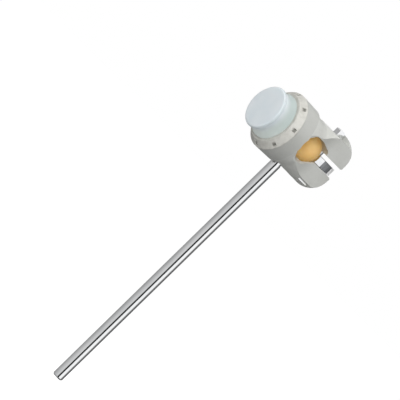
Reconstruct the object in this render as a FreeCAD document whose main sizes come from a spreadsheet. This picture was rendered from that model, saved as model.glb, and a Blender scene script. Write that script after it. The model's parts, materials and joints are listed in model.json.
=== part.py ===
"""Bass drum beater: a plated steel shaft that carries a moulded head with a screwed-in striking cap
at the front, and a fork at the back that a key bolt closes on a ball and a balance weight.

Millimetres. +Z runs up the shaft and -Y is the way the beater strikes. The origin is on the shaft's
axis, at the lower end of its straight wall. The head's pieces are drawn about the head's own axis,
which lies along Y and crosses the shaft's axis at shaft_reach.
"""
import FreeCAD, Part
import Sketcher
import math
import os

doc = FreeCAD.newDocument("BassDrumBeater")

SIZES = (
    ("shaft_diameter", 8.0, "plated steel shaft"),
    ("shaft_reach", 225.0, "start of the shaft's straight wall to the head's axis"),
    ("shaft_end_chamfer", 1.0, "lower end of the shaft"),
    ("shaft_root_diameter", 7.4, "shaft where it enters the housing"),
    ("shaft_root_gap", 1.1, "housing's waist down to where the shaft thins to its root"),
    ("shaft_mouth_gap", 0.35, "gap round the shaft's root in the housing"),
    ("spigot_diameter", 6.0, "threaded upper end of the shaft"),
    ("spigot_end_gap", 0.4, "from the spigot's end to the insert's upper face"),
    ("insert_diameter", 10.4, "brass insert moulded into the housing"),
    ("insert_length", 6.0, "brass insert"),
    ("insert_drop", 12.4, "head's axis down to the insert's upper face"),
    ("insert_groove", 0.6, "depth of the groove that keys the insert"),
    ("moulded_gap", 0.02, "between pieces that are moulded or screwed together"),
    ("collar_front", 23.3, "shaft's axis forward to the housing's rim"),
    ("collar_rim_wall", 2.95, "housing's wall round the cup at its rim"),
    ("collar_back", 6.6, "shaft's axis forward to the back of the collar over the head's axis"),
    ("collar_back_wall", 2.4, "back of the collar, outside the cup's radius"),
    ("collar_sweep", 0.25, "how far the collar's back runs forward for each mm out to the side"),
    ("collar_sweep_round", 40.0, "rounding of the collar's back where its two sides meet"),
    ("shoulder_front", 13.5, "shaft's axis forward to where the fork starts inside the collar"),
    ("shoulder_wall", 1.3, "fork behind the collar, outside the cup's radius"),
    ("shoulder_back", 6.0, "shaft's axis forward to where the fork starts to narrow"),
    ("waist_wall", 0.4, "housing's waist, outside the cup's radius"),
    ("waist_front", 1.5, "shaft's axis forward to the start of the waist"),
    ("waist_back", 9.0, "shaft's axis back to the end of the waist"),
    ("waist_blend", 20.0, "rounding between the collar, the waist and the arms"),
    ("arm_radius", 20.6, "outside of the lower arm"),
    ("arm_full", 18.0, "shaft's axis back to where the lower arm reaches its full radius"),
    ("lower_arm_end", 31.5, "shaft's axis back to the end of the lower arm"),
    ("lower_arm_round", 8.0, "rounding of the lower arm's end"),
    ("lip_front", 3.0, "shaft's axis back to where the upper arm starts to thicken"),
    ("lip_full", 13.0, "shaft's axis back to where the upper arm is at its thickest"),
    ("lip_rise", 3.8, "waist out to the outside of the upper arm's thick end"),
    ("lip_blend", 6.0, "rounding where the upper arm gets to its thickest"),
    ("deck_end", 24.3, "shaft's axis back to the wall behind the bolt's head"),
    ("upper_arm_end", 33.0, "shaft's axis back to the end of the upper arm"),
    ("upper_arm_round", 8.5, "rounding of the upper arm's end"),
    ("cheek_half_width", 12.9, "head's axis out to each flat cheek of the fork"),
    ("cheek_flat_start", 10.5, "shaft's axis back to where the cheeks become flat"),
    ("cheek_taper", 0.31, "how far a cheek runs outward for each mm forward of its flat"),
    ("cheek_blend", 30.0, "rounding between a cheek's taper and its flat"),
    ("cup_radius", 20.0, "threaded cup at the front of the housing"),
    ("cup_ledge", 14.5, "shaft's axis forward to the ledge in the cup that the cap sits on"),
    ("cup_floor", 11.5, "shaft's axis forward to the cup's floor"),
    ("cup_floor_radius", 14.0, "recess behind the ledge"),
    ("seat_bore_radius", 6.2, "hole from the cup through to the ball"),
    ("ball_radius", 10.0, "amber ball"),
    ("ball_offset", 8.5, "shaft's axis back to the ball's centre"),
    ("ball_rise", 0.8, "head's axis up to the ball's centre"),
    ("ball_gap", 0.5, "between the ball and the bore that the arms close on it"),
    ("bore_lip", 1.3, "wall between the end of the bore and a cheek"),
    ("window_front", 9.6, "shaft's axis forward to the front of the openings beside the ball"),
    ("window_drop", 10.4, "head's axis down to the openings' lower edge"),
    ("window_turn", 1.5, "shaft's axis back to where that edge starts to rise"),
    ("window_foot", 13.2, "shaft's axis back to where that edge meets the slot"),
    ("window_rise", 11.2, "head's axis up to the openings' upper edge"),
    ("window_bend", 5.0, "shaft's axis back to where that edge starts to fall"),
    ("window_shoulder", 15.5, "shaft's axis back to the upper rear corner of the openings"),
    ("window_shoulder_rise", 8.4, "head's axis up to that corner"),
    ("window_round", 7.0, "corners of the openings"),
    ("web_half", 8.2, "half the width of the web between the two openings"),
    ("scallop_half", 16.0, "head's axis out to the scallops in the back of the collar"),
    ("scallop_offset", 5.0, "shaft's axis forward to the middle of the scallops"),
    ("scallop_radius", 8.0, "scallops in the back of the collar"),
    ("ball_seat_gap", 0.3, "between the ball and the pieces in front of it and behind it"),
    ("ball_seat_wrap", 1.6, "how far the seat reaches back round the ball"),
    ("slot_drop", 3.0, "head's axis down to the lower arm"),
    ("slot_rise", 6.0, "head's axis up to the upper arm"),
    ("slot_round", 2.2, "rounding of the arms' ends beside the slot"),
    ("bolt_diameter", 5.0, "key bolt"),
    ("bolt_offset", 19.2, "shaft's axis back to the key bolt"),
    ("bolt_hole_gap", 0.35, "round the key bolt in the arms, the ball and the weight"),
    ("bolt_thread_gap", 0.05, "round the key bolt in its nut and its washer"),
    ("bolt_tip", 1.2, "key bolt below the nut plate"),
    ("bolt_seat_height", 20.5, "head's axis up to the deck under the bolt's head"),
    ("key_square", 5.2, "square head of the key bolt"),
    ("key_height", 4.6, "square head of the key bolt"),
    ("key_chamfer", 0.7, "top of the square head"),
    ("washer_radius", 4.4, "washer sunk in the deck under the bolt's head"),
    ("washer_thickness", 1.0, "washer under the bolt's head"),
    ("washer_gap", 0.3, "round the washer"),
    ("plate_width", 10.0, "nut plate, along the head"),
    ("plate_thickness", 1.2, "nut plate"),
    ("plate_cover", 3.0, "outside of the lower arm in to the middle of the nut plate"),
    ("plate_inset", 3.1, "ends of the nut plate inside the cheeks"),
    ("plate_gap", 0.1, "round the nut plate in its slot"),
    ("plate_corner", 1.0, "rounding of the nut plate's corners"),
    ("damper_thickness", 1.0, "rubber washer on the cup's floor"),
    ("damper_hole_radius", 7.4, "rubber washer on the cup's floor"),
    ("strike_gap", 0.3, "round the strike plate and the damper in the recess"),
    ("strike_stub_gap", 0.1, "round the plate's stub in the seat bore"),
    ("flange_thickness", 2.7, "rear flange of the cap"),
    ("flange_gap", 0.4, "round the cap's flange in the cup"),
    ("cap_front", 40.8, "shaft's axis forward to the striking face"),
    ("cap_face_inset", 0.3, "ring's bore in to the cap behind its rounded front edge"),
    ("cap_edge_round", 1.5, "front edge of the cap"),
    ("cap_waist_inset", 1.8, "ring's bore in to the cap's waist"),
    ("cap_waist_front", 34.5, "shaft's axis forward to the cap's waist"),
    ("cap_waist_blend", 9.0, "rounding in the cap's waist"),
    ("cap_bead", 0.4, "ring's bore out to the bead that holds the cap in the ring"),
    ("cap_bead_width", 1.2, "width of that bead"),
    ("cap_face_thickness", 5.0, "cap's striking wall"),
    ("cap_wall", 3.7, "cap's wall round its hollow"),
    ("cap_cavity_round", 3.0, "front edge of the hollow inside the cap"),
    ("cap_play", 0.3, "between the cap and the ring, along and across the axis"),
    ("ring_front", 28.6, "shaft's axis forward to the ring's front face"),
    ("ring_bevel_back", 24.0, "shaft's axis forward to the back of the ring's bevel"),
    ("ring_bevel", 3.55, "ring's outer edge in to the edge of its front face"),
    ("ring_wall", 2.5, "wall of the ring's skirt"),
    ("ring_rim_gap", 0.15, "between the ring and the housing's rim"),
    ("ring_thread_gap", 0.3, "between the ring's skirt and the cup"),
    ("notch_count", 8, "spanner notches in the ring's bevel"),
    ("notch_inset", 1.45, "ring's outer edge in to the middle of a notch"),
    ("notch_width", 2.8, "across a notch, round the ring"),
    ("notch_length", 2.1, "along a notch, outward"),
    ("notch_floor", 24.6, "shaft's axis forward to the floor of a notch"),
    ("notch_phase", -7.3, "degrees from the top of the ring to the first notch"),
    ("weight_front", 16.4, "shaft's axis back to the weight's nose"),
    ("weight_nose_end", 23.5, "shaft's axis back to the end of the tapered nose"),
    ("weight_bevel_start", 32.2, "shaft's axis back to the start of the rear bevel"),
    ("weight_end", 35.4, "shaft's axis back to the weight's rear face"),
    ("weight_nose_half", 4.3, "half the width of the nose"),
    ("weight_half", 5.4, "half the width of the middle"),
    ("weight_tail_half", 4.5, "half the width of the rear face"),
    ("weight_height", 5.9, "balance weight"),
    ("weight_lift", 0.1, "between the weight and the lower arm"),
    ("clear_of_part", 6.0, "how far cuts run past what they cut"),
)

sheet = doc.addObject("Spreadsheet::Sheet", "sizes")
for row, (alias, size, note) in enumerate(SIZES, start=1):
    sheet.set(f"A{row}", note)
    sheet.set(f"B{row}", str(size))
    sheet.setAlias(f"B{row}", alias)
doc.recompute()

# Sizes that follow from the driving ones, as expressions on the sheet.
shaft_radius = "(sizes.shaft_diameter / 2)"
root_radius = "(sizes.shaft_root_diameter / 2)"
spigot_radius = "(sizes.spigot_diameter / 2)"
insert_radius = "(sizes.insert_diameter / 2)"
insert_foot = "(sizes.insert_drop + sizes.insert_length)"
bolt_radius = "(sizes.bolt_diameter / 2)"
bolt_hole_radius = f"({bolt_radius} + sizes.bolt_hole_gap)"
ball_bore_radius = "(sizes.ball_radius + sizes.ball_gap)"
ball_seat_radius = "(sizes.ball_radius + sizes.ball_seat_gap)"
plate_drop = "(sizes.arm_radius - sizes.plate_cover)"
plate_top = f"({plate_drop} - sizes.plate_thickness / 2)"
plate_foot = f"({plate_drop} + sizes.plate_thickness / 2)"
washer_seat = "(sizes.bolt_seat_height - sizes.washer_thickness)"
damper_front = "(sizes.cup_floor + sizes.damper_thickness)"
strike_radius = "(sizes.cup_floor_radius - sizes.strike_gap)"
flange_front = "(sizes.cup_ledge + sizes.flange_thickness)"
flange_radius = "(sizes.cup_radius - sizes.flange_gap)"
skirt_end = f"({flange_front} + sizes.cap_play)"
rim_radius = "(sizes.cup_radius + sizes.collar_rim_wall)"
collar_back_radius = "(sizes.cup_radius + sizes.collar_back_wall)"
shoulder_radius = "(sizes.cup_radius + sizes.shoulder_wall)"
waist_radius = "(sizes.cup_radius + sizes.waist_wall)"
lip_radius = f"({waist_radius} + sizes.lip_rise)"
skirt_radius = "(sizes.cup_radius - sizes.ring_thread_gap)"
ring_bore = f"({skirt_radius} - sizes.ring_wall)"
neck_radius = f"({ring_bore} - sizes.cap_play)"
bead_back = "(sizes.ring_front + sizes.cap_play)"
bead_front = f"({bead_back} + sizes.cap_bead_width)"
bead_radius = f"({ring_bore} + sizes.cap_bead)"
weight_floor = "(sizes.weight_lift - sizes.slot_drop)"
beyond_arms = "(sizes.upper_arm_end + sizes.clear_of_part)"
beyond_radius = f"({lip_radius} + sizes.clear_of_part)"


def number(expression):
    """The value of an expression on the sheet."""
    return float(sheet.evalExpression(expression))


def origin_feature(body, role):
    """The body's own origin plane or axis with that role."""
    return next(feature for feature in body.Origin.OriginFeatures if feature.Role == role)


def new_body(label, at=("0", "0", "sizes.shaft_reach")):
    """A body drawn about the head's axis, or about another point given as three expressions."""
    body = doc.addObject("PartDesign::Body", label)
    body.Label = label
    for axis, expression in zip("xyz", at):
        body.setExpression(f"Placement.Base.{axis}", expression)
    return body


def new_sketch(body, name, role, offset=None):
    """A sketch on one of the body's origin planes, or off it along the plane's normal."""
    sketch = body.newObject("Sketcher::SketchObject", name)
    sketch.AttachmentSupport = [(origin_feature(body, role), "")]
    sketch.MapMode = "FlatFace"
    if offset:
        sketch.setExpression("AttachmentOffset.Base.z", offset)
    return sketch


def bind(sketch, kind, expression, *where):
    """A dimension of the sketch that follows an expression."""
    index = sketch.addConstraint(Sketcher.Constraint(kind, *where, number(expression)))
    sketch.setExpression(f"Constraints[{index}]", expression)


def corner_arc(before, corner, after, radius):
    """The arc of a radius that rounds a corner, and its ends on the runs before and after it."""
    back = (before - corner).normalize()
    ahead = (after - corner).normalize()
    half_angle = back.getAngle(ahead) / 2
    centre = corner + (back + ahead).normalize() * (radius / math.sin(half_angle))
    reach = radius / math.tan(half_angle)
    entry = corner + back * reach
    leave = corner + ahead * reach
    middle = centre + (corner - centre).normalize() * radius
    return Part.Arc(entry, middle, leave), entry, leave


def add_outline(sketch, points):
    """A closed outline, with each corner as two expressions and, where it is rounded, a third."""
    count = len(points)
    corners = [FreeCAD.Vector(number(point[0]), number(point[1]), 0) for point in points]
    entries = list(corners)
    leaves = list(corners)
    arcs = {}
    for index, point in enumerate(points):
        if len(point) == 3:
            around = corners[index - 1], corners[index], corners[(index + 1) % count]
            arcs[index], entries[index], leaves[index] = corner_arc(*around, number(point[2]))
    first = sketch.GeometryCount
    for index in range(count):
        run = Part.LineSegment(leaves[index], entries[(index + 1) % count])
        sketch.addGeometry(run, False)
    for index, point in enumerate(points):
        run_in = first + (index - 1) % count
        run_out = first + index
        held = run_out
        if index in arcs:
            held = sketch.addGeometry(Part.Point(corners[index]), True)
            arc = sketch.addGeometry(arcs[index], False)
            starts_at_entry = sketch.getPoint(arc, 1).isEqual(entries[index], 1e-6)
            entry_end, leave_end = (1, 2) if starts_at_entry else (2, 1)
            sketch.addConstraint(Sketcher.Constraint("Tangent", run_in, 2, arc, entry_end))
            sketch.addConstraint(Sketcher.Constraint("Tangent", run_out, 1, arc, leave_end))
            sketch.addConstraint(Sketcher.Constraint("PointOnObject", held, 1, run_in))
            sketch.addConstraint(Sketcher.Constraint("PointOnObject", held, 1, run_out))
            bind(sketch, "Radius", point[2], arc)
        else:
            sketch.addConstraint(Sketcher.Constraint("Coincident", run_in, 2, run_out, 1))
        bind(sketch, "DistanceX", point[0], -1, 1, held, 1)
        bind(sketch, "DistanceY", point[1], -1, 1, held, 1)


def add_box(sketch, left, right, low, high):
    """A rectangle between four expressions."""
    add_outline(sketch, ((left, low), (right, low), (right, high), (left, high)))


def add_circle(sketch, u, v, radius):
    """A circle about a point given as two expressions."""
    centre = FreeCAD.Vector(number(u), number(v), 0)
    index = sketch.addGeometry(Part.Circle(centre, FreeCAD.Vector(0, 0, 1), number(radius)), False)
    bind(sketch, "DistanceX", u, -1, 1, index, 3)
    bind(sketch, "DistanceY", v, -1, 1, index, 3)
    bind(sketch, "Radius", radius, index)


def turned(body, name, kind, role, axis, points):
    """A Revolution or a Groove of an outline about one of the body's axes."""
    sketch = new_sketch(body, f"{name}_outline", role)
    add_outline(sketch, points)
    feature = body.newObject(f"PartDesign::{kind}", name)
    feature.Profile = sketch
    feature.ReferenceAxis = (origin_feature(body, axis), [""])
    feature.Angle = 360
    doc.recompute()
    return feature


def turned_about_head(body, name, points):
    """A piece turned about the head's axis, with corners as places along Y and radii."""
    return turned(body, name, "Revolution", "YZ_Plane", "Y_Axis", points)


def cut_through(body, name, sketch):
    """A pocket right through the body, both ways from the sketch."""
    pocket = body.newObject("PartDesign::Pocket", name)
    pocket.Profile = sketch
    pocket.Type = "ThroughAll"
    pocket.SideType = "Symmetric"
    doc.recompute()
    return pocket


def cut_upward(body, name, sketch, along_normal=True):
    """A pocket from the sketch to everything on the side that its normal points to, or the other."""
    pocket = body.newObject("PartDesign::Pocket", name)
    pocket.Profile = sketch
    pocket.Type = "ThroughAll"
    pocket.Reversed = along_normal
    doc.recompute()
    return pocket


def pad(body, name, sketch, length):
    """A pad along the sketch's normal."""
    feature = body.newObject("PartDesign::Pad", name)
    feature.Profile = sketch
    feature.setExpression("Length", length)
    doc.recompute()
    return feature


def dress(body, name, kind, size, wanted):
    """A Fillet or a Chamfer on the edges of the body's last feature that pass a test."""
    last = body.Tip
    picked = [f"Edge{index}" for index, edge in enumerate(last.Shape.Edges, start=1) if wanted(edge)]
    feature = body.newObject(f"PartDesign::{kind}", name)
    feature.Base = (last, picked)
    feature.setExpression("Radius" if kind == "Fillet" else "Size", size)
    doc.recompute()
    return feature


def near(value, expression):
    """Whether a measured value is the one that an expression gives."""
    return abs(value - number(expression)) < 1e-4


# Shaft: a plated rod, chamfered at its lower end, with a thinner root and a threaded spigot at the top.
root_start = f"(sizes.shaft_reach - {waist_radius} - sizes.shaft_root_gap)"
shaft_shoulder = f"(sizes.shaft_reach - {insert_foot})"
spigot_end = "(sizes.shaft_reach - sizes.insert_drop - sizes.spigot_end_gap)"
shaft = new_body("shaft", at=("0", "0", "0"))
turned(shaft, "shaft_rod", "Revolution", "XZ_Plane", "Z_Axis", (
    ("0", "-sizes.shaft_end_chamfer"),
    (f"{shaft_radius} - sizes.shaft_end_chamfer", "-sizes.shaft_end_chamfer"),
    (shaft_radius, "0"),
    (shaft_radius, root_start),
    (root_radius, root_start),
    (root_radius, shaft_shoulder),
    (spigot_radius, shaft_shoulder),
    (spigot_radius, spigot_end),
    ("0", spigot_end),
))

# Shaft insert: a brass bush moulded into the housing, with a groove that the plastic grips.
insert_middle = "(sizes.insert_drop + sizes.insert_length / 2)"
groove_half = "(sizes.insert_length / 6)"
groove_radius = f"({insert_radius} - sizes.insert_groove)"
insert_bore = f"({spigot_radius} + sizes.moulded_gap)"
shaft_insert = new_body("shaft_insert")
turned(shaft_insert, "insert_bush", "Revolution", "XZ_Plane", "Z_Axis", (
    (insert_bore, f"-{insert_foot} + sizes.moulded_gap"),
    (insert_radius, f"-{insert_foot} + sizes.moulded_gap"),
    (insert_radius, f"-{insert_middle} - {groove_half}"),
    (groove_radius, f"-{insert_middle} - {groove_half}"),
    (groove_radius, f"-{insert_middle} + {groove_half}"),
    (insert_radius, f"-{insert_middle} + {groove_half}"),
    (insert_radius, "-sizes.insert_drop"),
    (insert_bore, "-sizes.insert_drop"),
))

# Housing: one moulding, with a conical collar round a threaded cup, and a two-armed fork behind it.
# The collar's back sweeps forward to both sides.
housing = new_body("housing")
turned_about_head(housing, "housing_collar", (
    ("-sizes.collar_front", "sizes.cup_radius"),
    ("-sizes.collar_front", rim_radius),
    ("-sizes.collar_back", collar_back_radius),
    ("-sizes.collar_back", "0"),
    ("-sizes.cup_floor", "0"),
    ("-sizes.cup_floor", "sizes.cup_floor_radius"),
    ("-sizes.cup_ledge", "sizes.cup_floor_radius"),
    ("-sizes.cup_ledge", "sizes.cup_radius"),
))
sweep_end = f"(sizes.collar_back + sizes.collar_sweep * {beyond_radius})"
collar_sweep = new_sketch(housing, "collar_sweep_outline", "XY_Plane")
add_outline(collar_sweep, (
    ("0", "-sizes.collar_back", "sizes.collar_sweep_round"),
    (beyond_radius, f"-{sweep_end}"),
    (beyond_radius, "0"),
    (f"-{beyond_radius}", "0"),
    (f"-{beyond_radius}", f"-{sweep_end}"),
))
cut_through(housing, "collar_sweep", collar_sweep)

# The fork's root and lower arm, turned from inside the collar to the back.
turned_about_head(housing, "fork_turned", (
    ("-sizes.shoulder_front", "sizes.cup_floor_radius"),
    ("-sizes.shoulder_front", shoulder_radius),
    ("-sizes.shoulder_back", shoulder_radius, "sizes.waist_blend"),
    ("-sizes.waist_front", waist_radius, "sizes.waist_blend"),
    ("sizes.waist_back", waist_radius, "sizes.waist_blend"),
    ("sizes.arm_full", "sizes.arm_radius", "sizes.waist_blend"),
    ("sizes.lower_arm_end", "sizes.arm_radius", "sizes.lower_arm_round"),
    ("sizes.lower_arm_end", "0"),
    ("-sizes.cup_floor", "0"),
    ("-sizes.cup_floor", "sizes.cup_floor_radius"),
))

# The upper arm's thicker end, as a half turn over the top.
upper_lip = turned_about_head(housing, "upper_lip", (
    ("sizes.lip_front", "0"),
    ("sizes.lip_front", waist_radius),
    ("sizes.lip_full", lip_radius, "sizes.lip_blend"),
    ("sizes.upper_arm_end", lip_radius, "sizes.upper_arm_round"),
    ("sizes.upper_arm_end", "0"),
))
upper_lip.Midplane = True
upper_lip.Angle = 180
doc.recompute()

# The fork's cheeks, which taper back from the collar and end flat.
unswept_half = "(sizes.cheek_half_width + sizes.cheek_taper * sizes.cheek_flat_start)"
taper_front = (f"((sizes.collar_back + sizes.collar_sweep * {unswept_half})"
               " / (1 - sizes.collar_sweep * sizes.cheek_taper))")
taper_half = f"({unswept_half} + sizes.cheek_taper * {taper_front})"
cheeks = new_sketch(housing, "cheek_outline", "XY_Plane")
for side in ("", "-"):
    add_outline(cheeks, (
        (f"{side}sizes.cheek_half_width", "sizes.cheek_flat_start", "sizes.cheek_blend"),
        (f"{side}{taper_half}", f"-{taper_front}"),
        (f"{side}{beyond_radius}", f"-{sweep_end}"),
        (f"{side}{beyond_radius}", beyond_arms),
        (f"{side}sizes.cheek_half_width", beyond_arms),
    ))
cut_through(housing, "cheeks", cheeks)

# The bore that holds the ball, which ends inside the cheeks, and the opening across the fork that shows
# it. Beside a web the opening runs forward to a scallop in the collar's back, and behind the ball the slot
# parts the arms.
bore = new_sketch(housing, "bore_outline", "YZ_Plane")
add_circle(bore, "sizes.ball_offset", "sizes.ball_rise", ball_bore_radius)
bore_pocket = housing.newObject("PartDesign::Pocket", "bore")
bore_pocket.Profile = bore
bore_pocket.SideType = "Symmetric"
bore_pocket.setExpression("Length", "2 * (sizes.cheek_half_width - sizes.bore_lip)")
doc.recompute()
web_back = "(sizes.ball_offset - sizes.ball_radius)"
window_rear = (
    ("sizes.window_turn", "-sizes.window_drop", "sizes.window_round"),
    ("sizes.window_foot", "-sizes.slot_drop"),
    ("sizes.window_shoulder", "0"),
    ("sizes.window_shoulder", "sizes.window_shoulder_rise", "sizes.window_round / 2"),
    ("sizes.window_bend", "sizes.window_rise", "sizes.window_round"),
)
opening = new_sketch(housing, "opening_outline", "YZ_Plane")
add_outline(opening, (
    (web_back, "-sizes.window_drop"),
    *window_rear,
    (web_back, "sizes.window_rise"),
))
cut_through(housing, "opening", opening)
for side, sign in (("right", ""), ("left", "-")):
    window = new_sketch(housing, f"{side}_window_outline", "YZ_Plane", f"{sign}sizes.web_half")
    add_outline(window, (
        ("-sizes.window_front", "-sizes.window_drop", "sizes.window_round"),
        *window_rear,
        ("-sizes.window_front", "sizes.window_rise", "sizes.window_round"),
    ))
    cut_upward(housing, f"{side}_window", window, side == "right")
    scallop = new_sketch(housing, f"{side}_scallop_outline", "YZ_Plane", f"{sign}sizes.scallop_half")
    add_circle(scallop, "-sizes.scallop_offset", "sizes.ball_rise", "sizes.scallop_radius")
    cut_upward(housing, f"{side}_scallop", scallop, side == "right")
slot = new_sketch(housing, "slot_outline", "YZ_Plane")
add_outline(slot, (
    ("sizes.ball_offset", "-sizes.slot_drop"),
    ("sizes.lower_arm_end", "-sizes.slot_drop", "sizes.slot_round"),
    (beyond_arms, f"-{beyond_radius}"),
    (beyond_arms, beyond_radius),
    ("sizes.upper_arm_end", "sizes.slot_rise", "sizes.slot_round"),
    ("sizes.ball_offset", "sizes.slot_rise"),
))
cut_through(housing, "slot", slot)

# The key bolt's hole through both arms, the flat deck and the sunk washer seat under its head.
bolt_hole = new_sketch(housing, "bolt_hole_outline", "XY_Plane")
add_circle(bolt_hole, "0", "sizes.bolt_offset", bolt_hole_radius)
cut_through(housing, "bolt_hole", bolt_hole)
deck = new_sketch(housing, "deck_outline", "YZ_Plane")
add_box(deck, "0", "sizes.deck_end", "sizes.bolt_seat_height", beyond_radius)
cut_through(housing, "deck", deck)
washer_sink = new_sketch(housing, "washer_sink_outline", "XY_Plane", washer_seat)
add_circle(washer_sink, "0", "sizes.bolt_offset", "sizes.washer_radius + sizes.washer_gap")
cut_upward(housing, "washer_sink", washer_sink)

# The slot across the lower arm that the nut plate slides into.
plate_slot = new_sketch(housing, "plate_slot_outline", "YZ_Plane")
plate_slot_half = "(sizes.plate_width / 2 + sizes.plate_gap)"
add_box(plate_slot,
        f"sizes.bolt_offset - {plate_slot_half}", f"sizes.bolt_offset + {plate_slot_half}",
        f"-{plate_foot} - sizes.plate_gap", f"-{plate_top} + sizes.plate_gap")
cut_through(housing, "plate_slot", plate_slot)

# The hole from the cup to the ball, and the shaft's stepped hole from below.
seat_bore = new_sketch(housing, "seat_bore_outline", "XZ_Plane", "sizes.cup_floor")
add_circle(seat_bore, "0", "0", "sizes.seat_bore_radius")
seat_pocket = housing.newObject("PartDesign::Pocket", "seat_bore")
seat_pocket.Profile = seat_bore
seat_pocket.setExpression("Length", "sizes.cup_floor + sizes.ball_offset")
doc.recompute()
insert_hole = f"({insert_radius} + sizes.moulded_gap)"
shaft_hole = f"({root_radius} + sizes.shaft_mouth_gap)"
turned(housing, "shaft_hole", "Groove", "XZ_Plane", "Z_Axis", (
    ("0", "-sizes.insert_drop + sizes.moulded_gap"),
    (insert_hole, "-sizes.insert_drop + sizes.moulded_gap"),
    (insert_hole, f"-{insert_foot}"),
    (shaft_hole, f"-{insert_foot}"),
    (shaft_hole, f"-{beyond_radius}"),
    ("0", f"-{beyond_radius}"),
))

# Damper: a rubber washer on the cup's floor.
damper_washer = new_body("damper_washer")
turned_about_head(damper_washer, "damper_turned", (
    (f"-{damper_front}", "sizes.damper_hole_radius"),
    (f"-{damper_front}", strike_radius),
    ("-sizes.cup_floor", strike_radius),
    ("-sizes.cup_floor", "sizes.damper_hole_radius"),
))

# Strike plate: a hard disc behind the cap, whose hollowed stub passes the blow to the ball.
stub_radius = "(sizes.seat_bore_radius - sizes.strike_stub_gap)"
stub_end = f"(sizes.ball_offset - {ball_seat_radius} + sizes.ball_seat_wrap)"
strike_plate = new_body("strike_plate")
turned_about_head(strike_plate, "strike_turned", (
    ("-sizes.cup_ledge", "0"),
    ("-sizes.cup_ledge", strike_radius),
    (f"-{damper_front}", strike_radius),
    (f"-{damper_front}", stub_radius),
    (stub_end, stub_radius),
    (stub_end, "0"),
))
ball_seat = new_sketch(strike_plate, "ball_seat_outline", "YZ_Plane")
add_circle(ball_seat, "sizes.ball_offset", "sizes.ball_rise", ball_seat_radius)
cut_through(strike_plate, "ball_seat", ball_seat)

# Striking cap: a hollow elastomer moulding with a waist, held by its flange and its bead.
cap_radius = f"({ring_bore} - sizes.cap_face_inset)"
cap_waist = f"({ring_bore} - sizes.cap_waist_inset)"
cavity_radius = f"({neck_radius} - sizes.cap_wall)"
cavity_front = "(sizes.cap_front - sizes.cap_face_thickness)"
striking_cap = new_body("striking_cap")
turned_about_head(striking_cap, "cap_turned", (
    ("-sizes.cap_front", "0"),
    ("-sizes.cap_front", cap_radius, "sizes.cap_edge_round"),
    ("-sizes.cap_waist_front", cap_waist, "sizes.cap_waist_blend"),
    (f"-{bead_front}", bead_radius),
    (f"-{bead_back}", bead_radius),
    (f"-{bead_back}", neck_radius),
    (f"-{flange_front}", neck_radius),
    (f"-{flange_front}", flange_radius),
    ("-sizes.cup_ledge", flange_radius),
    ("-sizes.cup_ledge", cavity_radius),
    (f"-{cavity_front}", cavity_radius, "sizes.cap_cavity_round"),
    (f"-{cavity_front}", "0"),
))

# Retaining ring: its skirt screws into the cup and its bevel has notches for a spanner.
ring_back = "(sizes.collar_front + sizes.ring_rim_gap)"
ring_face_radius = f"({rim_radius} - sizes.ring_bevel)"
retaining_ring = new_body("retaining_ring")
turned_about_head(retaining_ring, "ring_turned", (
    ("-sizes.ring_front", ring_bore),
    ("-sizes.ring_front", ring_face_radius),
    ("-sizes.ring_bevel_back", rim_radius),
    (f"-{ring_back}", rim_radius),
    (f"-{ring_back}", skirt_radius),
    (f"-{skirt_end}", skirt_radius),
    (f"-{skirt_end}", ring_bore),
))
notch_middle = f"({rim_radius} - sizes.notch_inset)"
notch = new_sketch(retaining_ring, "notch_outline", "XZ_Plane", "sizes.notch_floor")
add_box(notch, "-sizes.notch_width / 2", "sizes.notch_width / 2",
        f"{notch_middle} - sizes.notch_length / 2", f"{notch_middle} + sizes.notch_length / 2")
first_notch = cut_upward(retaining_ring, "first_notch", notch)
notches = retaining_ring.newObject("PartDesign::PolarPattern", "notches")
notches.Originals = [first_notch]
notches.Axis = (origin_feature(retaining_ring, "Y_Axis"), [""])
notches.Angle = 360
notches.setExpression("Occurrences", "sizes.notch_count")
retaining_ring.Tip = notches
retaining_ring.Placement.Rotation = FreeCAD.Rotation(FreeCAD.Vector(0, 1, 0), number("sizes.notch_phase"))
doc.recompute()

# Core ball: the amber ball that the fork closes on, notched at the back for the key bolt.
core_ball = new_body("core_ball", ("0", "sizes.ball_offset", "sizes.shaft_reach + sizes.ball_rise"))
whole_ball = core_ball.newObject("PartDesign::AdditiveSphere", "whole_ball")
whole_ball.setExpression("Radius", "sizes.ball_radius")
doc.recompute()
ball_notch = new_sketch(core_ball, "ball_notch_outline", "XY_Plane")
add_circle(ball_notch, "0", "sizes.bolt_offset - sizes.ball_offset", bolt_hole_radius)
cut_through(core_ball, "ball_notch", ball_notch)

# Balance weight: a plated block on the lower arm, forked round the key bolt and hollowed for the ball.
balance_weight = new_body("balance_weight")
weight_plan = new_sketch(balance_weight, "weight_plan", "XY_Plane", weight_floor)
add_outline(weight_plan, (
    ("-sizes.weight_nose_half", "sizes.weight_front"),
    ("sizes.weight_nose_half", "sizes.weight_front"),
    ("sizes.weight_half", "sizes.weight_nose_end"),
    ("sizes.weight_half", "sizes.weight_bevel_start"),
    ("sizes.weight_tail_half", "sizes.weight_end"),
    ("-sizes.weight_tail_half", "sizes.weight_end"),
    ("-sizes.weight_half", "sizes.weight_bevel_start"),
    ("-sizes.weight_half", "sizes.weight_nose_end"),
))
pad(balance_weight, "weight_block", weight_plan, "sizes.weight_height")
weight_dish = new_sketch(balance_weight, "weight_dish_outline", "YZ_Plane")
add_circle(weight_dish, "sizes.ball_offset", "sizes.ball_rise", ball_seat_radius)
cut_through(balance_weight, "weight_dish", weight_dish)
weight_notch = new_sketch(balance_weight, "weight_notch_outline", "XY_Plane")
add_box(weight_notch, f"-{bolt_hole_radius}", bolt_hole_radius,
        "sizes.weight_front - sizes.clear_of_part", "sizes.bolt_offset")
cut_through(balance_weight, "weight_notch", weight_notch)
notch_end = new_sketch(balance_weight, "notch_end_outline", "XY_Plane")
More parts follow.
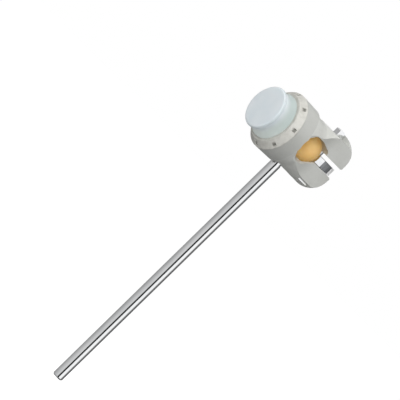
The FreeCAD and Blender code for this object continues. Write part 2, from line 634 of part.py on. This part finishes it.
add_circle(notch_end, "0", "sizes.bolt_offset", bolt_hole_radius)
cut_through(balance_weight, "notch_end", notch_end)

# Nut plate: a tapped plate slid across the lower arm.
at_bolt = ("0", "sizes.bolt_offset", "sizes.shaft_reach")
plate_half_length = "(sizes.cheek_half_width - sizes.plate_inset)"
nut_plate = new_body("nut_plate", at_bolt)
plate_plan = new_sketch(nut_plate, "plate_plan", "XY_Plane", f"-{plate_foot}")
add_box(plate_plan, f"-{plate_half_length}", plate_half_length,
        "-sizes.plate_width / 2", "sizes.plate_width / 2")
pad(nut_plate, "plate_block", plate_plan, "sizes.plate_thickness")
dress(nut_plate, "plate_corners", "Fillet", "sizes.plate_corner",
      lambda edge: near(edge.Length, "sizes.plate_thickness"))
plate_hole = new_sketch(nut_plate, "plate_hole_outline", "XY_Plane")
add_circle(plate_hole, "0", "0", f"{bolt_radius} + sizes.bolt_thread_gap")
cut_through(nut_plate, "plate_hole", plate_hole)

# Bolt washer: sunk in the upper arm under the bolt's head.
bolt_washer = new_body("bolt_washer", at_bolt)
turned(bolt_washer, "washer_turned", "Revolution", "XZ_Plane", "Z_Axis", (
    (f"{bolt_radius} + sizes.bolt_thread_gap", washer_seat),
    ("sizes.washer_radius", washer_seat),
    ("sizes.washer_radius", "sizes.bolt_seat_height"),
    (f"{bolt_radius} + sizes.bolt_thread_gap", "sizes.bolt_seat_height"),
))

# Key bolt: a square head for a drum key on a shank that crosses both arms.
bolt_foot = f"({plate_foot} + sizes.bolt_tip)"
key_bolt = new_body("key_bolt", at_bolt)
shank = new_sketch(key_bolt, "shank_outline", "XY_Plane", f"-{bolt_foot}")
add_circle(shank, "0", "0", bolt_radius)
pad(key_bolt, "shank", shank, f"{bolt_foot} + sizes.bolt_seat_height")
key_head = new_sketch(key_bolt, "key_head_outline", "XY_Plane", "sizes.bolt_seat_height")
add_box(key_head, "-sizes.key_square / 2", "sizes.key_square / 2",
        "-sizes.key_square / 2", "sizes.key_square / 2")
pad(key_bolt, "key_head", key_head, "sizes.key_height")
key_top = "sizes.bolt_seat_height + sizes.key_height"
dress(key_bolt, "key_edges", "Chamfer", "sizes.key_chamfer",
      lambda edge: all(near(point.Point.z, key_top) for point in edge.Vertexes))

doc.recompute()

SUB_PARTS = (
    shaft,
    shaft_insert,
    housing,
    damper_washer,
    strike_plate,
    striking_cap,
    retaining_ring,
    core_ball,
    balance_weight,
    nut_plate,
    bolt_washer,
    key_bolt,
)

for item in doc.Objects:
    faults = {"Invalid", "Error"} & set(item.State)
    if faults:
        raise RuntimeError(f"{item.Label} failed: {item.getStatusString()}")
for sub_part in SUB_PARTS:
    if sub_part.Shape.isNull() or not sub_part.Shape.isValid():
        raise RuntimeError(f"{sub_part.Label} has no valid shape")
    if len(sub_part.Shape.Solids) != 1:
        raise RuntimeError(f"{sub_part.Label} has {len(sub_part.Shape.Solids)} solids")

os.makedirs("parts", exist_ok=True)
for sub_part in SUB_PARTS:
    sub_part.Shape.exportStep(f"parts/{sub_part.Label}.step")
    print(f"{sub_part.Label}: {sub_part.Shape.Volume:.0f} mm3")
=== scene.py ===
import json
import math

import bmesh
import bpy
from mathutils import Matrix, Vector

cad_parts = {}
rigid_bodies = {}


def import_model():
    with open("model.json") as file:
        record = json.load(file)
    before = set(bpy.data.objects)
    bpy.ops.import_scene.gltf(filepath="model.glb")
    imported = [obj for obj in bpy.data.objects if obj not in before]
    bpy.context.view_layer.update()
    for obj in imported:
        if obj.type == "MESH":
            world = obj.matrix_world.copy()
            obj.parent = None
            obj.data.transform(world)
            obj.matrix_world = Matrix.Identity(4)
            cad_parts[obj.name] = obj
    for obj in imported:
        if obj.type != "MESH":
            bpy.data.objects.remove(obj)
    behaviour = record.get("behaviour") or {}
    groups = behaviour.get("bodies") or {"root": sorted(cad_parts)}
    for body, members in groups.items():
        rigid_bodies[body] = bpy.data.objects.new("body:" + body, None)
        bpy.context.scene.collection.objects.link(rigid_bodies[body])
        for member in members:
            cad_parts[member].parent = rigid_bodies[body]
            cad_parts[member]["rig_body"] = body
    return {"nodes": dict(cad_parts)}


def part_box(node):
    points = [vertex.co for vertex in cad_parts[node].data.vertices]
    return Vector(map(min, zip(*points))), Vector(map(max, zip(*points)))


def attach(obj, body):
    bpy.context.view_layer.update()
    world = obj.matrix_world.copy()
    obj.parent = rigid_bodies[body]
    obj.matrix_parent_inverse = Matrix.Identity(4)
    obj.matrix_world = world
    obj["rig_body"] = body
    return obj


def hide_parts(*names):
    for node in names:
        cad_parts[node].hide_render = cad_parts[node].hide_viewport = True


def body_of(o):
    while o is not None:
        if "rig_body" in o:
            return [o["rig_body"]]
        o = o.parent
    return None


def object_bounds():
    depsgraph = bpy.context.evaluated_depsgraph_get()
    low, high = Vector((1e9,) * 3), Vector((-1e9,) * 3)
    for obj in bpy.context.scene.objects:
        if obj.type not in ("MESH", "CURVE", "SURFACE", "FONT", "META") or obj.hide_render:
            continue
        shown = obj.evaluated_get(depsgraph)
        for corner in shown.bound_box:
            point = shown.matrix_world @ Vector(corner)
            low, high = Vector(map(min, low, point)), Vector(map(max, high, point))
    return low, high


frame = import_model()
solids = frame["nodes"]
cad_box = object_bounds()
scene = bpy.context.scene
scene.view_settings.view_transform = "Standard"

# Camera: far off with a long lens, a little above the head, and rolled so that the shaft runs from the
# lower left to the upper right. The picture is 400 pixels wide and shows a millimetre as 1.5 pixels.
head_centre = Vector((0.0, 0.0, 0.225))
camera_turn = math.radians(52.0)
camera_rise = math.radians(1.5)
camera_roll = math.radians(45.7)
camera_distance = 5.0
camera_reach = 20.0
picture_width = 400 / 1.5 / 1000
head_right_of_centre = 0.06607
head_above_centre = 0.03953
across = Vector((math.cos(camera_turn), math.sin(camera_turn), 0.0))
towards = Vector((
    math.sin(camera_turn) * math.cos(camera_rise),
    -math.cos(camera_turn) * math.cos(camera_rise),
    math.sin(camera_rise),
))
upward = towards.cross(across)
picture_right = across * math.cos(camera_roll) + upward * math.sin(camera_roll)
picture_up = upward * math.cos(camera_roll) - across * math.sin(camera_roll)
picture_centre = head_centre - picture_right * head_right_of_centre - picture_up * head_above_centre
lens = bpy.data.cameras.new("camera")
lens.lens = lens.sensor_width * camera_distance / picture_width
lens.clip_end = camera_reach
camera = bpy.data.objects.new("camera", lens)
facing = Matrix((picture_right, picture_up, towards)).transposed().to_4x4()
camera.matrix_world = Matrix.Translation(picture_centre + towards * camera_distance) @ facing
scene.collection.objects.link(camera)
scene.camera = camera


# Studio: a white tent with even light. Bright metal sees its grey left wall, the dark slit that the camera
# looks through and its white right wall. A softbox above the head and a scrim by the camera give the
# shading, and a screen on the striking side lights the cap.
class Wire:
    """An output socket of a node tree. Arithmetic on it adds Math nodes to the tree."""

    def __init__(self, tree, socket=None):
        self.tree = tree
        self.socket = socket

    def node(self, kind, settings=None, sockets=None, output=0):
        """Any other node: its settings come first, then the values or links of its sockets."""
        made = self.tree.nodes.new(kind if "Node" in kind else "ShaderNode" + kind)
        for name, value in (settings or {}).items():
            if name == "stops":
                stops = made.color_ramp.elements
                stops.remove(stops[1])
                stops[0].position, stops[0].color = value[0]
                for place, colour in value[1:]:
                    stops.new(place).color = colour
            else:
                setattr(made, name, value)
        for name, value in (sockets or {}).items():
            if isinstance(value, Wire):
                self.tree.links.new(value.socket, made.inputs[name])
            else:
                made.inputs[name].default_value = value
        return Wire(self.tree, made.outputs[output] if made.outputs else None)

    def maths(self, operation, first, second):
        return self.node("Math", {"operation": operation}, {0: first, 1: second})

    def __add__(self, other):
        return self.maths("ADD", self, other)

    def __radd__(self, other):
        return self.maths("ADD", other, self)

    def __sub__(self, other):
        return self.maths("SUBTRACT", self, other)

    def __rsub__(self, other):
        return self.maths("SUBTRACT", other, self)

    def __mul__(self, other):
        return self.maths("MULTIPLY", self, other)

    def __rmul__(self, other):
        return self.maths("MULTIPLY", other, self)

    def blend(self, first, second):
        """Two colours mixed by this wire."""
        sockets = {"Factor": self, 6: first, 7: second}
        return self.node("Mix", {"data_type": "RGBA"}, sockets, 2)

    def fade(self, start, end, low=0.0, high=1.0):
        """This wire's run from start to end, as a smooth run from low to high."""
        sockets = {"Value": self, "From Min": start, "From Max": end, "To Min": low, "To Max": high}
        return self.node("MapRange", {"interpolation_type": "SMOOTHSTEP"}, sockets)


def grey(level):
    """A neutral colour of a linear level."""
    return level, level, level, 1.0


tent = bpy.data.worlds.new("tent")
tent.use_nodes = True
tent.node_tree.nodes.clear()
scene.world = tent
air = Wire(tent.node_tree)
direction = air.node("TexCoord", output="Generated")
side_x, side_y, height = (air.node("SeparateXYZ", sockets={0: direction}, output=axis) for axis in "XYZ")
heading = air.maths("ARCTAN2", side_y, side_x) - math.atan2(towards.y, towards.x)
round_the_tent = air.maths("FRACT", heading * (0.5 / math.pi) + 0.5, 0.0)
walls = air.node("ValToRGB", {"stops": (
    (0.0, grey(0.30)),
    (0.17, grey(0.34)),
    (0.42, grey(0.64)),
    (0.484, grey(0.68)),
    (0.494, grey(0.02)),
    (0.572, grey(0.02)),
    (0.582, grey(1.0)),
    (0.725, grey(1.0)),
    (0.765, grey(0.16)),
    (0.860, grey(0.10)),
    (1.0, grey(0.30)),
)}, {"Fac": round_the_tent})
roof_start, roof_end = 0.45, 0.75
tent_inside = height.fade(roof_start, roof_end).blend(walls, grey(1.0))
camera_ray = air.node("LightPath", output="Is Camera Ray")
glossy_ray = air.node("LightPath", output="Is Glossy Ray")
clear_ray = air.node("LightPath", output="Is Transmission Ray")
even_light = grey(0.25)
tent_light = glossy_ray.blend(even_light, tent_inside)
tent_colour = air.maths("MAXIMUM", camera_ray, clear_ray).blend(tent_light, grey(1.0))
air.node("OutputWorld", sockets={"Surface": air.node("Background", sockets={"Color": tent_colour})})

light_width = 0.7
light_distance = 0.95


def soft_light(name, way, energy):
    """A round area light that faces the head from one way and isn't seen in bright metal."""
    lamp = bpy.data.lights.new(name, "AREA")
    lamp.shape = "DISK"
    lamp.size = light_width
    lamp.energy = energy
    stand = bpy.data.objects.new(name, lamp)
    stand.location = head_centre + way.normalized() * light_distance
    stand.rotation_euler = way.to_track_quat("Z", "Y").to_euler()
    stand.visible_glossy = False
    scene.collection.objects.link(stand)


soft_light("softbox", Vector((0.0, 0.0, 1.0)) + towards * 0.3, 4.7)
soft_light("scrim", towards + Vector((0.0, 0.0, 0.25)), 6.2)
soft_light("screen", Vector((0.0, -0.9, 0.35)) - across * 0.35, 1.3)

floor_mesh = bpy.data.meshes.new("floor")
floor_half = 6.0
floor_gap = 0.0001
floor_height = cad_box[0].z - floor_gap
floor_corners = [
    (x * floor_half, y * floor_half, floor_height) for x, y in ((-1, -1), (1, -1), (1, 1), (-1, 1))]
floor_mesh.from_pydata(floor_corners, [], [(0, 1, 2, 3)])
floor = bpy.data.objects.new("floor", floor_mesh)
floor.visible_glossy = False
scene.collection.objects.link(floor)
floor_paint = bpy.data.materials.new("floor_paint")
floor_paint.use_nodes = True
floor_paint.node_tree.nodes.clear()
ground = Wire(floor_paint.node_tree)
matt = ground.node("BsdfDiffuse", sockets={"Color": grey(0.45)})
floor_glow = 0.9
seen = ground.node("LightPath", output="Is Camera Ray") * floor_glow
glow = ground.node("Emission", sockets={"Color": grey(1.0), "Strength": seen})
ground.node("OutputMaterial", sockets={"Surface": ground.node("AddShader", sockets={0: matt, 1: glow})})
floor_mesh.materials.append(floor_paint)


# Shaft: 8 mm steel rod, ground along its length and bright chrome plated. Its thinner upper end screws
# into the head, and its lower end is chamfered for the pedal's clamp.
def paint(red, green, blue):
    """The linear colour of a screen colour from 0 to 255."""
    levels = (((part / 255 + 0.055) / 1.055) ** 2.4 for part in (red, green, blue))
    return *levels, 1.0


def new_finish(name):
    """A material with an empty tree, the wire that its nodes are added through, and Object coordinates."""
    material = bpy.data.materials.new(name)
    material.use_nodes = True
    material.node_tree.nodes.clear()
    wire = Wire(material.node_tree)
    return material, wire, wire.node("TexCoord", output="Object")


def grain(wire, place, scale, detail=2.0, stretch=(1.0, 1.0, 1.0)):
    """Noise of a number of cells to the metre, drawn out along the axes that stretch makes small."""
    drawn = wire.node("Mapping", sockets={"Vector": place, "Scale": stretch})
    return wire.node("TexNoise", sockets={"Vector": drawn, "Scale": scale, "Detail": detail})


def relief(wire, height, strength, depth):
    """A normal that a height pattern bends."""
    return wire.node("Bump", sockets={"Height": height, "Strength": strength, "Distance": depth})


def put_on(piece, material, wire, sockets):
    """Ends a material in its shader and puts it on a piece."""
    shader = wire.node("BsdfPrincipled", sockets=sockets)
    wire.node("OutputMaterial", sockets={"Surface": shader})
    piece.data.materials.clear()
    piece.data.materials.append(material)


chrome, wire, place = new_finish("shaft_chrome")
ground_lines = grain(wire, place, 2600.0, 2.0, (1.0, 1.0, 0.006))
handling = grain(wire, place, 55.0, 3.0)
tone = handling.fade(0.35, 0.75).blend(paint(246, 247, 248), paint(236, 238, 240))
put_on(solids["shaft"], chrome, wire, {
    "Base Color": tone,
    "Metallic": 1.0,
    "Roughness": 0.09 + 0.03 * handling + 0.03 * ground_lines,
    "Normal": relief(wire, ground_lines, 0.06, 0.00002),
})

# Shaft insert: a brass bush turned on a lathe and moulded into the head, so that the shaft's thread
# doesn't wear the plastic. Only its ends could be seen with the shaft out.
brass, wire, place = new_finish("insert_brass")
lathe_lines = grain(wire, place, 5200.0, 2.0, (0.02, 0.02, 1.0))
tarnish = grain(wire, place, 260.0, 3.0)
put_on(solids["shaft_insert"], brass, wire, {
    "Base Color": tarnish.fade(0.3, 0.75).blend(paint(222, 186, 110), paint(186, 146, 78)),
    "Metallic": 1.0,
    "Roughness": 0.22 + 0.2 * lathe_lines + 0.1 * tarnish,
    "Normal": relief(wire, lathe_lines, 0.3, 0.00003),
})


# Housing: the head's body, moulded in one from grey filled nylon with a fine spark-eroded skin. Its edges
# are a little round, and its collar, which ends where the fork begins, is painted a shade darker than the
# fork: painted shade.
def softened(node, name, radius, sharpest=28.0):
    """A copy of a solid with its facets joined up and its edges rounded, in the solid's place."""
    shape = bmesh.new()
    shape.from_mesh(solids[node].data)
    bmesh.ops.remove_doubles(shape, verts=shape.verts, dist=0.000002)
    bmesh.ops.dissolve_limit(shape, angle_limit=math.radians(0.4), verts=shape.verts, edges=shape.edges)
    joined = bpy.data.meshes.new(name + "_joined")
    shape.to_mesh(joined)
    shape.free()
    for layer in ("custom_normal", "sharp_edge", "sharp_face"):
        if layer in joined.attributes:
            joined.attributes.remove(joined.attributes[layer])
    joined.shade_smooth()
    piece = bpy.data.objects.new(name, joined)
    scene.collection.objects.link(piece)
    rounding = piece.modifiers.new("rounding", "BEVEL")
    rounding.width = radius
    rounding.segments = 3
    rounding.limit_method = "ANGLE"
    rounding.angle_limit = math.radians(sharpest)
    rounding.harden_normals = True
    rounded = bpy.data.meshes.new_from_object(piece.evaluated_get(bpy.context.evaluated_depsgraph_get()))
    piece.modifiers.clear()
    piece.data = rounded
    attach(piece, body_of(solids[node])[0])
    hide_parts(node)
    return piece


housing = softened("housing", "head_housing", 0.0006, 14.0)
nylon, wire, place = new_finish("housing_plastic")
flow = grain(wire, place, 45.0, 3.0)
fibres = grain(wire, place, 900.0, 3.0)
spark = grain(wire, place, 4200.0, 2.0)
shade = (0.7 * flow + 0.3 * fibres).fade(0.35, 0.68)
beside, along = (wire.node("SeparateXYZ", sockets={0: place}, output=axis) for axis in "XY")
collar_sweep = 0.25
collar_end = (-0.0074, -0.0066)
swept = along + collar_sweep * wire.maths("ABSOLUTE", beside, 0.0)
# painted shade: the collar's colour is a shade darker than the fork's
collar_painted_shade = shade.blend(paint(186, 187, 183), paint(178, 179, 174))
fork_tone = shade.blend(paint(199, 200, 196), paint(190, 191, 186))
put_on(housing, nylon, wire, {
    "Base Color": swept.fade(*collar_end).blend(collar_painted_shade, fork_tone),
    "Roughness": 0.46 + 0.14 * spark,
    "Specular IOR Level": 0.4,
    "Normal": relief(wire, spark + 0.5 * fibres, 0.22, 0.00006),
})

# Damper washer: punched from black rubber sheet and dropped in the bottom of the cup, where it deadens the
# blow.
rubber, wire, place = new_finish("damper_rubber")
crumb = grain(wire, place, 2600.0, 3.0)
bloom = grain(wire, place, 120.0, 2.0)
put_on(solids["damper_washer"], rubber, wire, {
    "Base Color": bloom.fade(0.3, 0.8).blend(paint(38, 38, 39), paint(58, 58, 57)),
    "Roughness": 0.75 + 0.15 * crumb,
    "Normal": relief(wire, crumb, 0.4, 0.00008),
})

# Strike plate: a hard plastic disc turned about the head's axis, whose stub hands the blow on to the
# ball. It lies between the damper and the cap.
acetal, wire, place = new_finish("strike_plastic")
facing_lines = grain(wire, place, 3000.0, 2.0, (0.03, 1.0, 0.03))
cloud = grain(wire, place, 90.0, 2.0)
put_on(solids["strike_plate"], acetal, wire, {
    "Base Color": cloud.fade(0.3, 0.7).blend(paint(224, 225, 222), paint(212, 214, 212)),
    "Roughness": 0.32 + 0.18 * facing_lines,
    "Normal": relief(wire, facing_lines, 0.2, 0.00004),
})

# Striking cap: a hollow moulding in milky elastomer. Its neck is painted darker than its face and its rim a
# shade
# darker to damp its highlight: painted shade. Face and neck have a painted glow, brightest low on the neck,
# for the light that comes through it. Its flange sits in the cup, its waist passes through the ring, and
# its flat face strikes the drum.
milk, wire, place = new_finish("cap_milky")
along, up = (wire.node("SeparateXYZ", sockets={0: place}, output=axis) for axis in "YZ")
mist = grain(wire, place, 70.0, 3.0)
skin = grain(wire, place, 2400.0, 2.0)
front = mist.fade(0.3, 0.7).blend(paint(208, 214, 217), paint(201, 209, 213))
# painted shade: the neck is painted darker than the face
neck_painted_shade = mist.fade(0.3, 0.7).blend(paint(160, 169, 167), paint(152, 163, 161))
# painted shade on the rim, to damp its highlight
rim_painted_shade = paint(180, 188, 191)
rim_front = (-0.0407, -0.0402)
rim_back = (-0.0382, -0.0396)
neck_run = (-0.0392, -0.0325)
neck_height = (0.010, -0.016)
rim = along.fade(*rim_front) * along.fade(*rim_back)
behind = along.fade(*neck_run)
below = (up - head_centre.z).fade(*neck_height)
# painted light: a glow on face and neck, brightest low on the neck
front_painted_glow = paint(150, 155, 158)
neck_painted_glow = below.blend(paint(184, 193, 190), paint(234, 240, 234))
put_on(solids["striking_cap"], milk, wire, {
    "Base Color": behind.blend(rim.blend(front, rim_painted_shade), neck_painted_shade),
    "Emission Color": behind.blend(front_painted_glow, neck_painted_glow),
    "Emission Strength": 0.28,
    "Roughness": 0.52 + 0.1 * skin,
    "Subsurface Weight": 0.5,
    "Subsurface Radius": (0.9, 1.0, 1.0),
    "Subsurface Scale": 0.005,
    "Specular IOR Level": 0.25,
    "Normal": relief(wire, skin, 0.1, 0.00005),
})

# Retaining ring: moulded in a lighter grey than the housing, with notches in its bevel for a pin spanner,
# which are painted darker inside as painted shade. Its skirt screws into the cup and traps the cap's
# flange.
ring = softened("retaining_ring", "notched_ring", 0.0003)
pale_nylon, wire, place = new_finish("ring_plastic")
mottle = grain(wire, place, 320.0, 3.0)
streak = grain(wire, place, 60.0, 2.0)
spark = grain(wire, place, 3800.0, 2.0)
shade = (0.55 * mottle + 0.45 * streak).fade(0.36, 0.66)
beside, along, up = (wire.node("SeparateXYZ", sockets={0: place}, output=axis) for axis in "XYZ")
above = up - head_centre.z
radius = wire.maths("SQRT", beside * beside + above * above, 0.0)
bevel_radius = 0.02295
bevel_slope = 0.7717
bevel_back = -0.024
bevel_front = (-0.0284, -0.0279)
notch_depth = (0.0004, 0.0012)
sunk = bevel_radius + bevel_slope * (along - bevel_back) - radius
# painted shade: the notches in the bevel are painted darker
notch_painted_shade = sunk.fade(*notch_depth) * along.fade(*bevel_front)
ring_tone = shade.blend(paint(198, 197, 191), paint(178, 177, 170))
notch_shade_colour = paint(148, 148, 142)
put_on(ring, pale_nylon, wire, {
    "Base Color": notch_painted_shade.blend(ring_tone, notch_shade_colour),
    "Roughness": 0.42 + 0.14 * spark,
    "Specular IOR Level": 0.4,
    "Normal": relief(wire, spark + 0.6 * mottle, 0.22, 0.00006),
})

thread_tree = bpy.data.node_groups.new("screw_thread", "GeometryNodeTree")
thread_inputs = {}
for label, kind in (("Pitch", "Float"), ("Length", "Float"), ("Radius", "Float"), ("Ridge", "Float"),
                    ("Finish", "Material")):
    socket = thread_tree.interface.new_socket(label, in_out="INPUT", socket_type="NodeSocket" + kind)
    thread_inputs[label] = socket.identifier
thread_tree.interface.new_socket("Geometry", in_out="OUTPUT", socket_type="NodeSocketGeometry")
steps = Wire(thread_tree)
pitch, length, reach, ridge, finish = (
    steps.node("NodeGroupInput", output=label) for label in thread_inputs)
path = steps.node("GeometryNodeCurveSpiral", sockets={
    "Resolution": 32,
    "Rotations": steps.maths("DIVIDE", length, pitch),
    "Start Radius": reach,
    "End Radius": reach,
    "Height": length,
    "Reverse": True,
})
section = steps.node("GeometryNodeCurvePrimitiveCircle", sockets={"Resolution": 8, "Radius": ridge})
winding = steps.node("GeometryNodeCurveToMesh", sockets={
    "Curve": path, "Profile Curve": section, "Fill Caps": True})
realized = steps.node("GeometryNodeRealizeInstances", sockets={"Geometry": winding})
finished = steps.node("GeometryNodeSetMaterial", sockets={"Geometry": realized, "Material": finish})
steps.node("NodeGroupOutput", sockets={"Geometry": finished})


def screw_thread(name, node, inputs, place):
    """The ridge of a screw thread. It winds up the Z axis and is then put in its place on a solid."""
    piece = bpy.data.objects.new(name, bpy.data.meshes.new(name + "_start"))
    scene.collection.objects.link(piece)
    modifier = piece.modifiers.new("winding", "NODES")
    modifier.node_group = thread_tree
    for label, value in inputs.items():
        modifier[thread_inputs[label]] = value
    wound = bpy.data.meshes.new_from_object(piece.evaluated_get(bpy.context.evaluated_depsgraph_get()))
    piece.modifiers.clear()
    piece.data = wound
    shape = bmesh.new()
    shape.from_mesh(wound)
    bmesh.ops.recalc_face_normals(shape, faces=shape.faces)
    shape.to_mesh(wound)
    shape.free()
    wound.transform(place)
    wound.shade_smooth()
    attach(piece, body_of(solids[node])[0])


ring_thread = {"Pitch": 0.002, "Length": 0.0052, "Radius": 0.0194, "Ridge": 0.00048, "Finish": pale_nylon}
skirt_end = -0.0181
screw_thread("ring_thread", "retaining_ring", ring_thread,
             Matrix.Translation((0.0, skirt_end, head_centre.z)) @ Matrix.Rotation(math.pi / 2, 4, "X"))

# Core ball: a solid amber plastic ball in the fork's bore, tumbled to a satin skin. A painted glow keeps
# its edges bright, as painted light for the light that comes through it. The fork closes on it, and the key
# bolt passes through the notch in its back.
amber, wire, place = new_finish("ball_amber")
swirl = grain(wire, place, 110.0, 4.0)
skin = grain(wire, place, 3000.0, 2.0)
put_on(solids["core_ball"], amber, wire, {
    "Base Color": swirl.fade(0.32, 0.68).blend(paint(217, 183, 126), paint(211, 173, 111)),
    # painted light: a glow that keeps the ball's edges bright
    "Emission Color": paint(215, 176, 106),
    "Emission Strength": 0.28,
    "Roughness": 0.4 + 0.12 * skin,
    "Subsurface Weight": 0.6,
    "Subsurface Radius": (1.0, 0.7, 0.4),
    "Subsurface Scale": 0.004,
    "Normal": relief(wire, skin, 0.1, 0.00005),
})

# Balance weight: a steel block milled to its wedge shape and plated. It stands on the lower arm. Its flanks
# are painted dark with milling lines, a painted dark reflection, and its rear end is painted a pale matt
# white, a painted bright reflection.
weight = softened("balance_weight", "wedge_weight", 0.00025)
plated, wire, place = new_finish("weight_chrome")
along = wire.node("SeparateXYZ", sockets={0: place}, output="Y")
milling = grain(wire, place, 2400.0, 2.0, (0.4, 1.0, 0.03))
haze = grain(wire, place, 160.0, 2.0)
flank_front = (0.0236, 0.0240)
flank_back = (0.0321, 0.0318)
rear_end = (0.0320, 0.0323)
# painted reflection: the flanks are painted dark and the rear end pale white
flank = along.fade(*flank_front) * along.fade(*flank_back)
white_tail = along.fade(*rear_end)
bright = haze.fade(0.3, 0.7).blend(paint(244, 245, 246), paint(232, 234, 236))
flank_painted_dark = milling.fade(0.3, 0.7).blend(paint(142, 144, 146), paint(104, 106, 108))
tail_painted_white = grey(0.98)
put_on(weight, plated, wire, {
    "Base Color": white_tail.blend(flank.blend(bright, flank_painted_dark), tail_painted_white),
    "Metallic": 1.0 - 0.8 * white_tail,
    "Roughness": 0.08 + 0.04 * haze + 0.12 * flank + 0.4 * white_tail,
    "Normal": relief(wire, milling, 0.12, 0.00002),
})

# Nut plate: a zinc plated steel plate, tapped for the key bolt and slid across the lower arm, so that the
# bolt can't pull through the plastic.
nut_plate = softened("nut_plate", "tapped_plate", 0.0001)
zinc, wire, place = new_finish("plate_zinc")
crystal = grain(wire, place, 900.0, 2.0)
tint = grain(wire, place, 140.0, 2.0)
put_on(nut_plate, zinc, wire, {
    "Base Color": tint.fade(0.35, 0.7).blend(paint(244, 245, 246), paint(236, 236, 231)),
    "Metallic": 1.0,
    "Roughness": 0.18 + 0.12 * crystal,
    "Normal": relief(wire, crystal, 0.12, 0.00003),
})

# Bolt washer: a plain punched steel washer, zinc plated as the nut plate is, sunk in the deck under the
# bolt's head.
washer = softened("bolt_washer", "sunk_washer", 0.00015)
washer.data.materials.clear()
washer.data.materials.append(zinc)

# Key bolt: a forged square head for a drum key on a 5 mm threaded shank, chrome plated. It draws the arms
# of the fork together.
bolt = softened("key_bolt", "square_bolt", 0.0003)
bolt_chrome, wire, place = new_finish("bolt_chrome")
forging = grain(wire, place, 420.0, 3.0)
handling = grain(wire, place, 150.0, 2.0)
put_on(bolt, bolt_chrome, wire, {
    "Base Color": handling.fade(0.3, 0.7).blend(paint(252, 252, 253), paint(242, 243, 245)),
    "Metallic": 1.0,
    "Roughness": 0.08 + 0.08 * forging,
    "Normal": relief(wire, forging, 0.08, 0.00006),
})

bolt_offset = 0.0192
bolt_seat = head_centre.z + 0.0205
bolt_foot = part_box("key_bolt")[0].z
shank_radius = 0.0025
shank_top = bolt_seat - 0.0002
thread_root = 0.00215
thread_start = bolt_foot + 0.0008
thread_length = bolt_seat - bolt_foot - 0.002
for corner in bolt.data.vertices:
    if corner.co.z < shank_top:
        corner.co.x *= thread_root / shank_radius
        corner.co.y = bolt_offset + (corner.co.y - bolt_offset) * thread_root / shank_radius
bolt_thread = {"Pitch": 0.0008, "Length": thread_length, "Radius": thread_root, "Ridge": 0.00034,
               "Finish": bolt_chrome}
screw_thread("bolt_thread", "key_bolt", bolt_thread,
             Matrix.Translation((0.0, bolt_offset, thread_start)))
